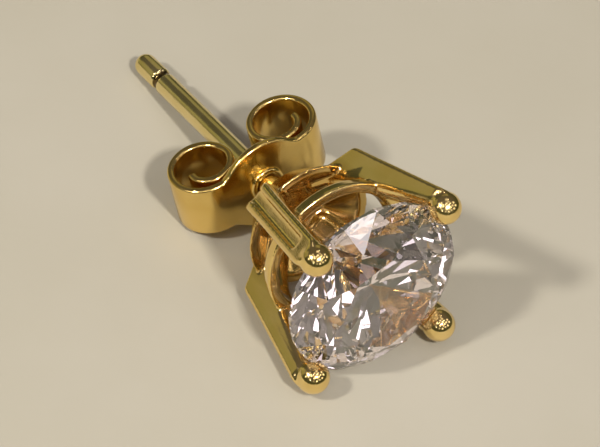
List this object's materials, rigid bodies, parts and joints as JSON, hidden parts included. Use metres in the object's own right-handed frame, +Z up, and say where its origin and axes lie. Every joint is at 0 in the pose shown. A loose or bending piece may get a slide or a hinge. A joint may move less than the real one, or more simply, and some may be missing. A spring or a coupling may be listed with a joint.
{
  "type": "stud earring",
  "caption": "Solitaire stud earring: round brilliant-cut stone in a claw basket, straight notched post and a sliding butterfly back.",
  "frame": {"origin": "middle of the bounding box, at its bottom: the surface that the earring lies on", "axes": "+Z up from the surface it lies on. The stone faces -Y. The post runs back along +Y and slopes down at 10.8 degrees, as the earring lies by itself"},
  "size_m": [0.0066, 0.0158, 0.0065],
  "materials": {
    "yellow_gold": "polished yellow gold, cast and hand finished",
    "clear_stone": "faceted colourless stone, polished",
    "yellow_gold_spring": "polished yellow gold, rolled spring strip"
  },
  "bodies": {
    "stud": {"setting": "yellow_gold", "stone": "clear_stone"},
    "back": {"butterfly_back": "yellow_gold_spring"}
  },
  "joints": [
    {"name": "back_slide", "type": "slide", "parent": "stud", "child": "back", "axis": [0, 0.9821, -0.1882], "range_m": [-0.001, 0.009]}
  ]
}
